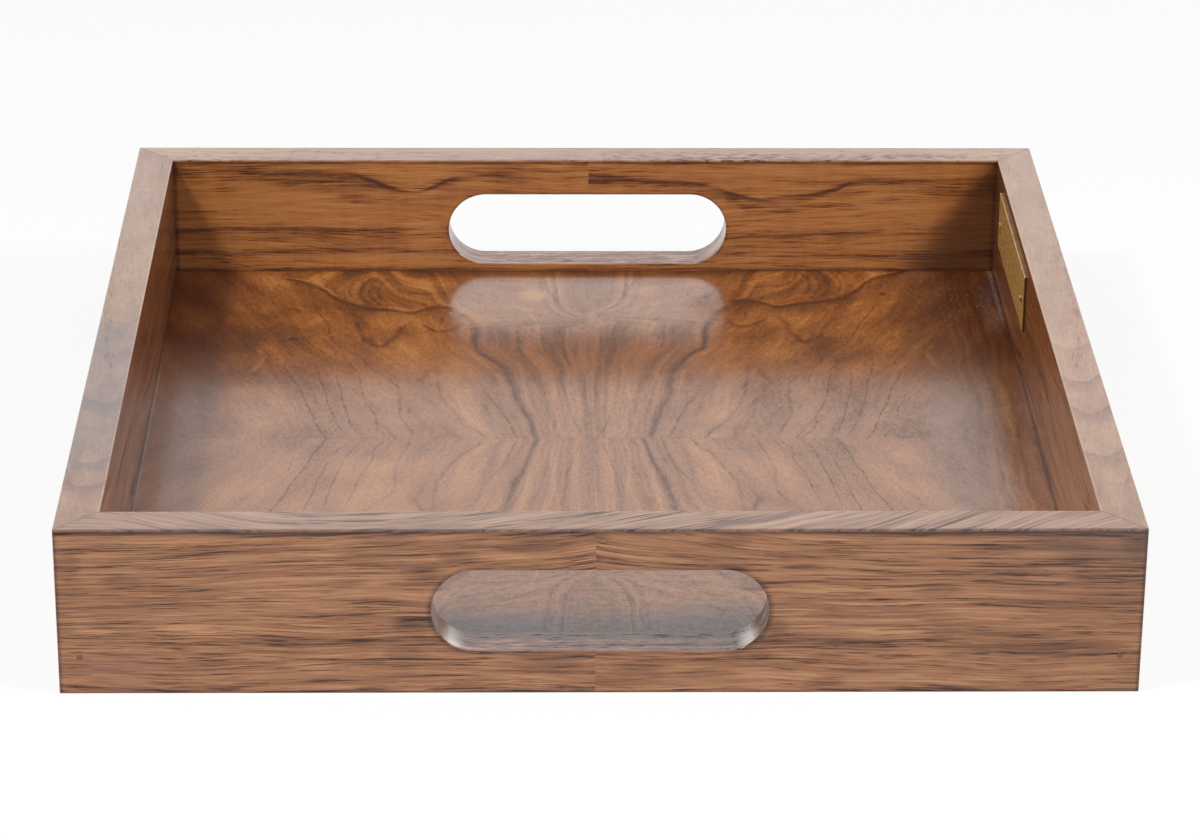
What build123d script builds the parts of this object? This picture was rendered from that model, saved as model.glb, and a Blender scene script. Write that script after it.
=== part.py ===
from build123d import *
import os

# A square serving tray of veneered board: four mitred walls, a floor panel held in their groove,
# a lined hand slot in the front and back walls, and a bare plate pinned inside the right wall.
# Millimetres. The origin is on the table under the middle of the tray, +X right, +Y back, +Z up.

# The whole tray
tray_width = 360.0
tray_depth = 360.0
tray_height = 60.2

# Walls, from the outside in: outer leaf, core, inner leaf, with a rim leaf over the top
outer_leaf_thickness = 0.8
wall_core_thickness = 12.8
inner_leaf_thickness = 0.8
rim_leaf_thickness = 0.8
front_seam_shift = -1.8
back_seam_shift = 1.0

# Floor panel, from the bottom up: backing leaf, core, floor leaves
floor_underside_height = 4.6
backing_leaf_thickness = 0.8
floor_core_thickness = 6.0
floor_leaf_thickness = 0.8
floor_groove_depth = 5.0
floor_groove_clearance = 0.15
floor_side_gap = 0.3

# Hand slots, sizes of the finished opening
slot_length = 112.0
slot_height = 30.0
slot_centre_height = 30.3
slot_lining_thickness = 0.8
front_slot_shift = -0.3
back_slot_shift = 0.8

# Loose tongues in the mitres, as shares of the wall core's thickness
tongue_thickness_share = 0.25
tongue_width_share = 0.75
tongue_place_share = 0.55
tongue_clearance = 0.1
tongue_brad_gap = 4.0
tongue_rim_gap = 4.0

# Brads through the foot of each mitre, with a filling over each head
brad_diameter = 1.2
brad_length = 20.0
brad_rise_over_floor = 1.3
brad_set_depth = 1.6
brad_clearance = 0.05
filling_diameter = 1.9

# The plate and its two pins
plate_length = 90.0
plate_height = 22.5
plate_thickness = 0.8
plate_back_gap = 20.5
plate_rim_gap = 6.2
pin_inset = 7.0
pin_head_diameter = 2.6
pin_head_height = 0.7
pin_shank_diameter = 1.3
pin_length = 7.0
pin_clearance = 0.05

# Eased edges, as shares of the leaf or plate that carries them
corner_easing_share = 0.9
rim_easing_share = 0.6
foot_easing_share = 0.4
slot_easing_share = 0.5
plate_easing_share = 0.3
pin_dome_share = 0.8

# Every cut runs past its faces by this much
overrun = 1.0

# Depths into a wall from its outer face: the core's inner face, and the whole wall
core_inner = outer_leaf_thickness + wall_core_thickness
wall_thickness = core_inner + inner_leaf_thickness

# Heights over the table
wall_top = tray_height - rim_leaf_thickness
floor_core_low = floor_underside_height + backing_leaf_thickness
floor_core_high = floor_core_low + floor_core_thickness
floor_top = floor_core_high + floor_leaf_thickness
brad_height = floor_top + brad_rise_over_floor
tongue_low = brad_height + tongue_brad_gap
tongue_high = wall_top - tongue_rim_gap

# Each wall is drawn where the front wall stands, then turned about the middle of the tray:
# half its length, and the distance from the middle to its outer face, a quarter turn apart
walls = {
    "front": (tray_width / 2, tray_depth / 2),
    "right": (tray_depth / 2, tray_width / 2),
    "back": (tray_width / 2, tray_depth / 2),
    "left": (tray_depth / 2, tray_width / 2),
}
# On the back wall, turned halfway round, a shift to the right is drawn to the left
slot_shifts = {"front": front_slot_shift, "back": -back_slot_shift}
seam_shifts = {"front": front_seam_shift, "back": -back_seam_shift}


def turned(wall, shape):
    quarter_turns = list(walls).index(wall)
    return Rot(0, 0, 90 * quarter_turns) * shape


def wall_length(wall, outer, inner, low, high):
    # the stretch of a wall between two depths and two heights, mitred at both ends
    half, reach = walls[wall]
    outline = Polyline(
        (outer - half, outer - reach),
        (half - outer, outer - reach),
        (half - inner, inner - reach),
        (inner - half, inner - reach),
        close=True,
    )
    return Pos(0, 0, low) * extrude(make_face(outline), amount=high - low)


def slot_block(wall, outer, inner, growth=0):
    # the round-ended block that fills a hand slot between two depths
    mouth = Plane(
        origin=(slot_shifts[wall], inner - walls[wall][1], slot_centre_height),
        x_dir=(1, 0, 0),
        z_dir=(0, -1, 0),
    )
    shape = SlotOverall(slot_length + 2 * growth, slot_height + 2 * growth)
    return extrude(mouth * shape, amount=inner - outer)


def slot_through(wall, growth=0):
    return slot_block(wall, -overrun, wall_thickness + overrun, growth)


def eased_envelope():
    # the outside of the finished tray, with its corners and edges eased
    block = Pos(0, 0, tray_height / 2) * Box(tray_width, tray_depth, tray_height)
    upright = block.edges().filter_by(Axis.Z)
    block = block.fillet(outer_leaf_thickness * corner_easing_share, upright)
    rim = block.edges().group_by(Axis.Z)[-1]
    block = block.fillet(rim_leaf_thickness * rim_easing_share, rim)
    foot = block.edges().group_by(Axis.Z)[0]
    return block.fillet(outer_leaf_thickness * foot_easing_share, foot)


def corner_places(depth):
    # the four points that lie this deep in from both outer faces at a corner
    return {
        f"{along}_{across}": (x * (tray_width / 2 - depth), y * (tray_depth / 2 - depth))
        for along, y in (("front", -1), ("back", 1))
        for across, x in (("left", -1), ("right", 1))
    }


def tongues(clearance=0):
    # one upright slip across each mitre, square to it
    thickness = wall_core_thickness * tongue_thickness_share + 2 * clearance
    width = wall_core_thickness * tongue_width_share + 2 * clearance
    height = tongue_high - tongue_low + 2 * clearance
    middle = (tongue_high + tongue_low) / 2
    depth = outer_leaf_thickness + wall_core_thickness * tongue_place_share
    made = {}
    for corner, (x, y) in corner_places(depth).items():
        turn = -45 if x * y > 0 else 45
        made[corner] = Pos(x, y, middle) * Rot(0, 0, turn) * Box(width, thickness, height)
    return made


def rod_from_face(place, radius, low_depth, high_depth):
    # a round rod that runs in from the front or back face between two depths
    x, y = place
    side = -1 if y < 0 else 1
    middle = side * (tray_depth / 2 - (low_depth + high_depth) / 2)
    return Pos(x, middle, brad_height) * Rot(90, 0, 0) * Cylinder(radius, high_depth - low_depth)


def brads(clearance=0):
    places = corner_places(wall_thickness / 2).values()
    tip = brad_set_depth + brad_length + clearance
    return [rod_from_face(place, brad_diameter / 2 + clearance, brad_set_depth, tip) for place in places]


def fillings(clearance=0, proud=0):
    places = corner_places(wall_thickness / 2).values()
    radius = filling_diameter / 2 + clearance
    return [rod_from_face(place, radius, -proud, brad_set_depth) for place in places]


def wall_core(wall):
    core = wall_length(wall, outer_leaf_thickness, core_inner, 0, wall_top)
    groove_top = floor_top + floor_groove_clearance
    groove_bottom = core_inner - floor_groove_depth
    core -= wall_length(wall, groove_bottom, core_inner + overrun, floor_underside_height, groove_top)
    if wall in slot_shifts:
        core -= slot_through(wall, slot_lining_thickness)
    core = turned(wall, core)
    return core - [*tongues(tongue_clearance).values(), *brads(brad_clearance), *fillings(brad_clearance)]


def slot_edges(leaf, face):
    # the edges round the hand slot that lie in the leaf's showing face
    whole = leaf.bounding_box()
    easing = whole.size.Y * slot_easing_share
    found = []
    for edge in leaf.edges():
        box = edge.bounding_box()
        in_face = box.size.Y < easing and abs(box.min.Y - face) < easing
        if in_face and box.min.Z > whole.min.Z + easing and box.max.Z < whole.max.Z - easing:
            found.append(edge)
    return easing, found


def wall_leaves(wall, outer, inner, low, showing_depth):
    # a wall's face leaf, or the pair that meets at a seam on a wall with a hand slot
    leaf = wall_length(wall, outer, inner, low, wall_top)
    if wall not in slot_shifts:
        return {"": turned(wall, leaf)}
    leaf -= slot_through(wall)
    leaf = leaf.fillet(*slot_edges(leaf, showing_depth - walls[wall][1]))
    made = {}
    for end in (-1, 1):
        middle = seam_shifts[wall] + end * tray_width / 2
        half = Pos(middle, 0, 0) * Box(tray_width, 2 * tray_depth, 2 * tray_height)
        left = (end < 0) == (wall == "front")
        made["_left" if left else "_right"] = turned(wall, leaf & half)
    return made


def outer_leaves(wall):
    leaves = wall_leaves(wall, 0, outer_leaf_thickness, 0, 0)
    holes = fillings(brad_clearance, overrun) if wall in slot_shifts else []
    return {f"{wall}_outer_leaf{end}": (leaf & envelope) - holes for end, leaf in leaves.items()}


def inner_leaves(wall):
    leaves = wall_leaves(wall, core_inner, wall_thickness, floor_top, wall_thickness)
    return {f"{wall}_inner_leaf{end}": leaf for end, leaf in leaves.items()}


def rim_leaf(wall):
    leaf = wall_length(wall, 0, wall_thickness, wall_top, tray_height)
    inner_edges = leaf.edges().filter_by(Axis.X).group_by(Axis.Y)[-1]
    easing = rim_leaf_thickness * rim_easing_share
    leaf = leaf.fillet(easing, inner_edges.sort_by(Axis.Z)[-1:])
    return turned(wall, leaf) & envelope


def slot_lining(wall):
    band = slot_block(wall, outer_leaf_thickness, core_inner, slot_lining_thickness)
    return turned(wall, band - slot_through(wall))


def floor_panel():
    # half the panel's width and depth, with its edges short of the bottom of the groove
    margin = core_inner - floor_groove_depth + floor_side_gap
    half_width = tray_width / 2 - margin
    half_depth = tray_depth / 2 - margin

    def layer(low, thickness, x=0, y=0):
        width, depth = half_width * (1 if x else 2), half_depth * (1 if y else 2)
        place = (x * half_width / 2, y * half_depth / 2, low + thickness / 2)
        return Pos(*place) * Box(width, depth, thickness)

    made = {
        "floor_backing": layer(floor_underside_height, backing_leaf_thickness),
        "floor_core": layer(floor_core_low, floor_core_thickness),
    }
    for corner, (x, y) in corner_places(0).items():
        side = (1 if x > 0 else -1, 1 if y > 0 else -1)
        made["floor_leaf_" + corner] = layer(floor_core_high, floor_leaf_thickness, *side)
    return made


def plate_places():
    # on the right wall's inner face: the plate's middle, and the pins on its centre line
    face = tray_width / 2 - wall_thickness
    height = tray_height - plate_rim_gap - plate_height / 2
    back = tray_depth / 2 - wall_thickness - plate_back_gap
    pins = [(face, back - pin_inset, height), (face, back - plate_length + pin_inset, height)]
    return (face - plate_thickness / 2, back - plate_length / 2, height), pins


def pin_shanks(clearance=0):
    _, places = plate_places()
    radius = pin_shank_diameter / 2 + clearance
    length = pin_length + clearance
    middle = length / 2 - plate_thickness
    return [Pos(x + middle, y, z) * Rot(0, 90, 0) * Cylinder(radius, length) for x, y, z in places]


def plate():
    middle, _ = plate_places()
    block = Box(plate_thickness, plate_length, plate_height)
    showing = block.faces().sort_by(Axis.X)[0]
    block = Pos(*middle) * block.fillet(plate_thickness * plate_easing_share, showing.edges())
    return block - pin_shanks(pin_clearance)


def pins():
    made = []
    for (x, y, z), shank in zip(plate_places()[1], pin_shanks()):
        head = Cylinder(pin_head_diameter / 2, pin_head_height)
        dome = head.edges().group_by(Axis.Z)[-1]
        head = head.fillet(pin_head_height * pin_dome_share, dome)
        out = x - plate_thickness - pin_head_height / 2
        made.append((Pos(out, y, z) * Rot(0, -90, 0) * head) + shank)
    return made


envelope = eased_envelope()
nodes = {}
for wall in walls:
    nodes[f"{wall}_wall_core"] = wall_core(wall)
    nodes.update(outer_leaves(wall))
    nodes.update(inner_leaves(wall))
    nodes[f"{wall}_rim_leaf"] = rim_leaf(wall)
for wall in slot_shifts:
    nodes[f"{wall}_slot_lining"] = slot_lining(wall)
for corner, tongue in tongues().items():
    nodes[f"{corner}_tongue"] = tongue
for name in ("right_wall_core", "right_inner_leaf"):
    nodes[name] -= pin_shanks(pin_clearance)
nodes.update(floor_panel())
nodes["name_plate"] = plate()
nodes["plate_pins"] = Compound(children=pins())
nodes["corner_brads"] = Compound(children=brads())
nodes["brad_fillings"] = Compound(children=fillings())

os.makedirs("parts", exist_ok=True)
for name, shape in nodes.items():
    export_step(shape, f"parts/{name}.step")
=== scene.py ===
import math

import bpy
from mathutils import Matrix, Vector


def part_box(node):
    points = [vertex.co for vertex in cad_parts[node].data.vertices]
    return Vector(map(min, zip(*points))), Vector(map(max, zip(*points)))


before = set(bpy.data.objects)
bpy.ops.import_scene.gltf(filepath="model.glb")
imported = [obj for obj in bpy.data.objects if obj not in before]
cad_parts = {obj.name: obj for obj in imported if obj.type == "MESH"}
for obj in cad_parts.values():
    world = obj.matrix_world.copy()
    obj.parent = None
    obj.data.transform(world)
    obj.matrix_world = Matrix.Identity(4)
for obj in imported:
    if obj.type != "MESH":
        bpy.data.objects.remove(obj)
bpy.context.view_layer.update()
print("frame loaded,", len(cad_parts), "nodes")


# Camera, floor and light

camera = {
    "place": (-0.0279, -1.4483, 0.6629),  # metres
    "pitchDown": 23.94,  # degrees
    "turnRight": 1.22,
    "roll": 0.46,
    "lens": 128.5,  # mm on a 36 mm sensor
}
studio = {
    "skyOnObject": 0.42,  # what the world gives to matt surfaces
    "skySeen": 1.0,  # what the camera and reflections see: white
    "floorSize": 6.0,  # metres
    "floorColour": (0.86, 0.86, 0.86),
    "floorWhite": 0.84,  # share of plain white in the floor, the rest takes the shadow
}
lamps = {
    "leftLamp": {"towards": (-0.62, -0.44, 1.0), "distance": 1.6, "size": 0.20, "watts": 13.0},
    "rightLamp": {"towards": (0.95, -0.44, 1.0), "distance": 1.6, "size": 0.32, "watts": 13.0},
}


def makeCamera():
    data = bpy.data.cameras.new("camera")
    data.lens, data.sensor_width = camera["lens"], 36.0
    thing = bpy.data.objects.new("camera", data)
    turn = Matrix.Rotation(math.radians(-camera["turnRight"]), 4, "Z")
    tilt = Matrix.Rotation(math.radians(90 - camera["pitchDown"]), 4, "X")
    roll = Matrix.Rotation(math.radians(camera["roll"]), 4, "Z")
    thing.matrix_world = Matrix.Translation(camera["place"]) @ turn @ tilt @ roll
    bpy.context.scene.collection.objects.link(thing)
    bpy.context.scene.camera = thing


def makeLamps():
    for name, lamp in lamps.items():
        data = bpy.data.lights.new(name, "AREA")
        data.shape, data.size, data.energy = "DISK", lamp["size"], lamp["watts"]
        thing = bpy.data.objects.new(name, data)
        towards = Vector(lamp["towards"]).normalized()
        thing.location = towards * lamp["distance"]
        thing.rotation_euler = towards.to_track_quat("Z", "Y").to_euler()
        bpy.context.scene.collection.objects.link(thing)


# Shader maths

curveSpan = 200  # mm, past the longest drawn curve


class Number:
    # a value in a node tree: each operator adds one Math node
    def __init__(self, paint, socket):
        self.paint, self.socket = paint, socket

    def __add__(self, other):
        return self.paint.maths("ADD", self, other)

    def __sub__(self, other):
        return self.paint.maths("SUBTRACT", self, other)

    def __rsub__(self, other):
        return self.paint.maths("SUBTRACT", other, self)

    def __mul__(self, other):
        return self.paint.maths("MULTIPLY", self, other)

    def __truediv__(self, other):
        return self.paint.maths("DIVIDE", self, other)

    def __rtruediv__(self, other):
        return self.paint.maths("DIVIDE", other, self)

    def __pow__(self, other):
        return self.paint.maths("POWER", self, other)

    def __abs__(self):
        return self.paint.maths("ABSOLUTE", self)

    __radd__ = __add__
    __rmul__ = __mul__


class Paint:
    # the node tree of a material or of the world, with short ways to add to it
    def __init__(self, owner):
        owner.use_nodes = True
        self.tree = owner.node_tree
        self.tree.nodes.clear()

    def node(self, kind, settings=None, inputs=None, out=0):
        made = self.tree.nodes.new(kind)
        for key, value in (settings or {}).items():
            if key == "stops":
                self.setStops(made.color_ramp.elements, value)
            elif key == "points":
                self.setPoints(made.mapping, value)
            else:
                setattr(made, key, value)
        for key, value in (inputs or {}).items():
            if isinstance(value, Number):
                self.tree.links.new(value.socket, made.inputs[key])
            else:
                made.inputs[key].default_value = value
        return Number(self, made.outputs[out]) if made.outputs else made

    def setStops(self, elements, stops):
        while len(elements) < len(stops):
            elements.new(1.0)
        for element, (place, colour) in zip(elements, stops):
            element.position, element.color = place, (*colour, 1.0)

    def setPoints(self, mapping, points):
        curve = mapping.curves[0]
        while len(curve.points) < len(points):
            curve.points.new(1.0, 1.0)
        for point, place in zip(curve.points, points):
            point.location, point.handle_type = place, "AUTO_CLAMPED"
        mapping.update()

    def maths(self, operation, *values):
        return self.node("ShaderNodeMath", {"operation": operation}, dict(enumerate(values)))

    def smooth(self, value, low, high):
        # 0 at low, 1 at high, eased at both ends
        return self.node("ShaderNodeMapRange", {"interpolation_type": "SMOOTHSTEP"},
                         {"Value": value, "From Min": low, "From Max": high})

    def line(self, distance, width):
        # 1 on a line, 0 from half its width away
        return self.smooth(abs(distance), width / 2, 0.0)

    def between(self, value, first, last, soft):
        return self.smooth(value, first - soft, first + soft) * self.smooth(value, last + soft, last - soft)

    def curve(self, value, points):
        # a curve drawn through given points, in mm up to curveSpan
        points = [(place / curveSpan, reach / curveSpan) for place, reach in points]
        made = self.node("ShaderNodeFloatCurve", {"points": points}, {"Value": value / curveSpan})
        return made * curveSpan

    def stroke(self, along, across, points, width, soft=3.0):
        # 1 on a drawn curve between its first and last point
        drawn = self.line(across - self.curve(along, points), width)
        return drawn * self.between(along, points[0][0], points[-1][0], soft)

    def blob(self, x, y, radius):
        # 1 at x = y = 0, 0 from the radius on
        return self.smooth(x * x + y * y, radius ** 2, 0.0)

    def patched(self, tone, across, up, patches):
        # takes soft oval patches off the tone; each has its middle, half sizes and depth
        face = self.vector(across, up, 0.0)
        for place, rise, reach, height, depth in patches:
            oval = self.node("ShaderNodeVectorMath", {"operation": "MULTIPLY_ADD"}, {
                0: face, 1: (1 / reach, 1 / height, 0.0), 2: (-place / reach, -rise / height, 0.0)})
            away = self.node("ShaderNodeVectorMath", {"operation": "DOT_PRODUCT"}, {0: oval, 1: oval}, 1)
            tone = tone - self.smooth(away, 1.0, 0.0) * depth
        return tone

    def vector(self, x, y, z):
        return self.node("ShaderNodeCombineXYZ", None, {"X": x, "Y": y, "Z": z})

    def noise(self, x, y, z, detail=2.0, rough=0.5):
        # about -1 to 1
        made = self.node("ShaderNodeTexNoise", None, {
            "Vector": self.vector(x, y, z), "Scale": 1.0, "Detail": detail, "Roughness": rough})
        return (made - 0.5) * 4

    def mix(self, share, one, other):
        one, other = (value if isinstance(value, Number) else (*value, 1.0) for value in (one, other))
        return self.node("ShaderNodeMix", {"data_type": "RGBA"}, {0: share, 6: one, 7: other}, 2)

    def ramp(self, value, stops):
        return self.node("ShaderNodeValToRGB", {"stops": stops}, {"Fac": value})

    def millimetres(self):
        place = self.node("ShaderNodeTexCoord", None, None, "Object")
        place = self.node("ShaderNodeVectorMath", {"operation": "SCALE"}, {0: place, "Scale": 1000.0})
        return [self.node("ShaderNodeSeparateXYZ", None, {0: place}, axis) for axis in "XYZ"]


def onRays(paint, *rays):
    # 1 for each kind of ray that is named, else 0
    seen = 0.0
    for ray in rays:
        seen = paint.node("ShaderNodeLightPath", None, None, ray) + seen
    return seen


def makeWorld():
    world = bpy.data.worlds.new("studio")
    bpy.context.scene.world = world
    paint = Paint(world)
    seen = onRays(paint, "Is Camera Ray", "Is Glossy Ray", "Is Transmission Ray")
    seen = paint.maths("MINIMUM", seen, 1.0)
    strength = studio["skyOnObject"] + seen * (studio["skySeen"] - studio["skyOnObject"])
    sky = paint.node("ShaderNodeBackground", None, {"Color": (1, 1, 1, 1), "Strength": strength})
    paint.node("ShaderNodeOutputWorld", None, {"Surface": sky})


def makeFloor():
    half = studio["floorSize"] / 2
    mesh = bpy.data.meshes.new("floor")
    corners = [(-half, -half, 0), (half, -half, 0), (half, half, 0), (-half, half, 0)]
    mesh.from_pydata(corners, [], [(0, 1, 2, 3)])
    floor = bpy.data.objects.new("floor", mesh)
    bpy.context.scene.collection.objects.link(floor)
    material = bpy.data.materials.new("paleFloor")
    paint = Paint(material)
    matt = paint.node("ShaderNodeBsdfDiffuse", None, {"Color": (*studio["floorColour"], 1.0)})
    white = paint.node("ShaderNodeEmission", None, {"Color": (1, 1, 1, 1), "Strength": studio["skySeen"]})
    seen = onRays(paint, "Is Camera Ray", "Is Glossy Ray")
    shown = paint.node("ShaderNodeMixShader", None, {0: seen * studio["floorWhite"], 1: matt, 2: white})
    # see-through from below, so that the underside can be looked at
    clear = paint.node("ShaderNodeBsdfTransparent")
    below = paint.node("ShaderNodeNewGeometry", None, None, "Backfacing")
    both = paint.node("ShaderNodeMixShader", None, {0: below, 1: shown, 2: clear})
    paint.node("ShaderNodeOutputMaterial", None, {"Surface": both})
    mesh.materials.append(material)


makeCamera()
makeLamps()
makeWorld()
makeFloor()
print("camera, lamps and floor made")


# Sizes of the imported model, in mm

def low(node, axis):
    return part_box(node)[0]["xyz".index(axis)] * 1000


def high(node, axis):
    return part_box(node)[1]["xyz".index(axis)] * 1000


size = {
    "wallTop": low("front_rim_leaf", "z"),
    "floorTop": high("floor_leaf_front_left", "z"),
    "inside": low("back_inner_leaf_left", "y"),
    "half": high("right_outer_leaf", "x"),
    "frontSlot": (low("front_slot_lining", "x") + high("front_slot_lining", "x")) / 2,
    "backSlot": (low("back_slot_lining", "x") + high("back_slot_lining", "x")) / 2,
    "frontSeam": high("front_outer_leaf_left", "x"),
    "backSeam": high("back_inner_leaf_left", "x"),
    "crossSeam": high("floor_leaf_front_left", "y"),
    "middleSeam": high("floor_leaf_front_left", "x"),
    "slotMiddle": 30.3,  # height of a hand slot's middle
    "slotRadius": 15.0,  # of its round ends
    "slotStraight": 41.0,  # from its middle to where an end begins
}
pastEnd = 190  # mm from the tray's middle to a point past its end, from where a leaf's grain is counted
reliefDepth = 0.0002  # metres


def finish(paint, colour, pits, gloss, height=None):
    # the last nodes of every material: colour, gloss and a fine relief; the lacquer is thin in the pits
    relief = paint.node("ShaderNodeBump", None, {
        "Height": height or 1 - pits, "Strength": gloss["relief"], "Distance": reliefDepth})
    shader = paint.node("ShaderNodeBsdfPrincipled", None, {
        "Base Color": colour,
        "Roughness": gloss["roughness"],
        "Normal": relief,
        "Metallic": gloss.get("metal", 0.0),
        "Specular IOR Level": gloss["specular"],
        "Coat Weight": (1 - pits * gloss["dullPits"]) * gloss["coat"],
        "Coat Roughness": gloss["coatRoughness"],
        "Coat IOR": gloss["coatIor"],
    })
    paint.node("ShaderNodeOutputMaterial", None, {"Surface": shader})


def startMaterial(name):
    material = bpy.data.materials.new(name)
    paint = Paint(material)
    return material, paint, paint.millimetres()


def grainTone(paint, along, across, cut, grain):
    # light and dark of straight-grained veneer around 0, and its pores; cut picks another slice of the log
    across = across + paint.noise(along * 0.012, across * 0.03, cut, 1.0) * grain["wander"]
    band = paint.noise(along * 0.005, across * grain["bandsPerMm"], cut, 3.0, 0.6)
    streak = paint.noise(along * 0.018, across * grain["streaksPerMm"], cut + 7.3, 3.0, 0.65)
    fibre = paint.noise(along * 0.06, across * 1.9, cut + 3.1, 3.0, 0.7)
    dash = paint.noise(along * grain["dashRun"], across * grain["dashesPerMm"], cut + 13.1, 3.0, 0.6)
    pores = paint.smooth(dash - band * 0.5 - streak * 0.25, grain["poreFrom"], grain["poreFrom"] + 0.35)
    light = band * grain["band"] + streak * grain["streak"] + fibre * grain["fibre"]
    return light - pores * grain["pore"], pores


def slotEdge(paint, x, z, shift):
    # mm outward from the edge of a hand slot
    beyond = paint.maths("MAXIMUM", abs(x - shift) - size["slotStraight"], 0.0)
    return paint.maths("SQRT", beyond * beyond + (z - size["slotMiddle"]) ** 2) - size["slotRadius"]


# Outer faces

outer = {
    "colours": [(0.0, (0.050, 0.022, 0.014)), (0.3, (0.145, 0.060, 0.031)),
                (0.6, (0.30, 0.125, 0.054)), (1.0, (0.50, 0.25, 0.125))],
    "haze": (0.20, 0.14, 0.12),  # smoky, high at the right end
    "blush": (0.36, 0.155, 0.10),  # low at the left end
    "level": 0.645,
    "grain": {"wander": 2.0, "bandsPerMm": 0.17, "streaksPerMm": 0.6, "dashRun": 0.06, "dashesPerMm": 1.5,
              "poreFrom": 0.22, "band": 0.09, "streak": 0.34, "fibre": 0.28, "pore": 0.38},
    "gloss": {"coat": 0.6, "coatRoughness": 0.16, "coatIor": 1.5, "specular": 0.2, "roughness": 0.4,
              "relief": 0.25, "dullPits": 0.8},
    "fall": 14.0,  # mm that the grain drops from the seam outward along the top
    "fallRun": 70.0,
    "darkEdge": 0.40,  # along the top and the foot
    "cornerDarkening": 0.42,  # at the corners
}
# long patches of the front: x, z, half length, half height, depth (above 0 dark, below 0 pale)
outerPatches = [
    (-131, 23, 24, 3.5, -0.34), (150, 17, 34, 4.8, 0.36), (92, 30, 26, 4, 0.20), (111, 38, 11, 3.5, 0.27),
    (-20, 10.5, 19, 3.2, 0.28), (14, 10.3, 13, 3.2, 0.24), (50, 13.8, 13, 2.3, 0.30), (-20, 53.5, 18, 4, 0.28),
    (148, 43.5, 11, 3.2, -0.26), (-69, 56, 13, 3, 0.22), (41, 56, 11, 3, 0.24), (-59, 44, 10, 3.5, 0.24),
    (-47, 50, 9, 3, 0.20), (-23, 4.3, 20, 3, -0.22), (-158, 41, 10, 3, 0.22), (36, 7, 14, 2.3, 0.24),
    (-135, 19.6, 16, 2.2, 0.12), (111, 28.3, 10, 2.6, 0.20), (121, 16, 11, 2.6, 0.18), (95, 21.8, 18, 3, -0.22),
    (176, 54, 7, 5, 0.22), (-176, 47, 6, 7, 0.20), (75, 13.5, 9, 2.1, 0.20), (75, 9.8, 9, 1.7, -0.14),
    (75, 4, 9, 2.3, 0.22), (138, 50.5, 22, 3, -0.22), (163, 47.5, 10, 3, -0.22), (-62, 25.5, 10, 4, 0.36),
    (-65, 15, 9, 3.5, 0.20), (-94, 10.5, 17, 2.3, -0.18), (-84, 41, 10, 2.6, 0.18), (-168, 23, 9, 2.6, -0.15),
    (55, 46.6, 9, 2.3, -0.18), (75, 28.6, 10, 2.6, 0.16), (-93, 50, 9, 2.6, -0.17), (57, 24.5, 7, 4, 0.25),
    (-17, 13.4, 17, 2.2, 0.20), (-4, 57, 9, 3, 0.16),
]


def outerTone(paint, fromSeam, z, cut):
    spread = 1 - paint.maths("EXPONENT", fromSeam * (-1 / outer["fallRun"]))
    across = z + (z / size["wallTop"]) ** 2 * spread * outer["fall"]
    tone, pores = grainTone(paint, fromSeam, across, cut, outer["grain"])
    edge = paint.smooth(z, size["wallTop"] - 2.2, size["wallTop"]) + paint.smooth(z, 1.4, 0.0)
    return tone - edge * outer["darkEdge"] + outer["level"], pores


def pairedOuter(name, seam, shift):
    material, paint, (x, y, z) = startMaterial(name)
    right = paint.maths("GREATER_THAN", x, seam)
    tone, pores = outerTone(paint, abs(x - seam), z, right * 0.4)
    tone = paint.patched(tone, x, z, outerPatches)
    # the right end is darker and smoky at the top, the left end warm
    smoke = paint.smooth(x, 95.0, 178.0) * paint.smooth(z, 10.0, 62.0)
    haze = paint.smooth(x, 110.0, 178.0) * paint.smooth(z, 34.0, 56.0)
    cloud = paint.noise(x * 0.05, z * 0.09, 4.0)
    # darker along the corners and round the hand slot
    edgeAndEndMarks = paint.smooth(abs(x), size["half"] - 1.8, size["half"]) * outer["cornerDarkening"]
    ends = paint.smooth(abs(x - shift), 40.0, 54.0) * 0.16 + 0.2
    edgeAndEndMarks = edgeAndEndMarks + paint.smooth(slotEdge(paint, x, z, shift), 2.4, 0.0) * ends
    tone = tone * (1 - smoke * 0.25) - smoke * (0.10 + cloud * 0.08) - edgeAndEndMarks - haze * 0.05
    colour = paint.mix(haze * 0.2, paint.ramp(tone, outer["colours"]), outer["haze"])
    blush = paint.blob(x + 160, (z - 9) * 1.6, 19.0) * (cloud * 0.2 + 0.4)
    colour = paint.mix(blush, colour, outer["blush"])
    finish(paint, colour, pores, outer["gloss"])
    return material


def singleOuter(name):
    material, paint, (x, y, z) = startMaterial(name)
    tone, pores = outerTone(paint, y + pastEnd, z, x * 0.01)
    finish(paint, paint.ramp(tone, outer["colours"]), pores, outer["gloss"])
    return material


# Inner faces of the walls

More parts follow.
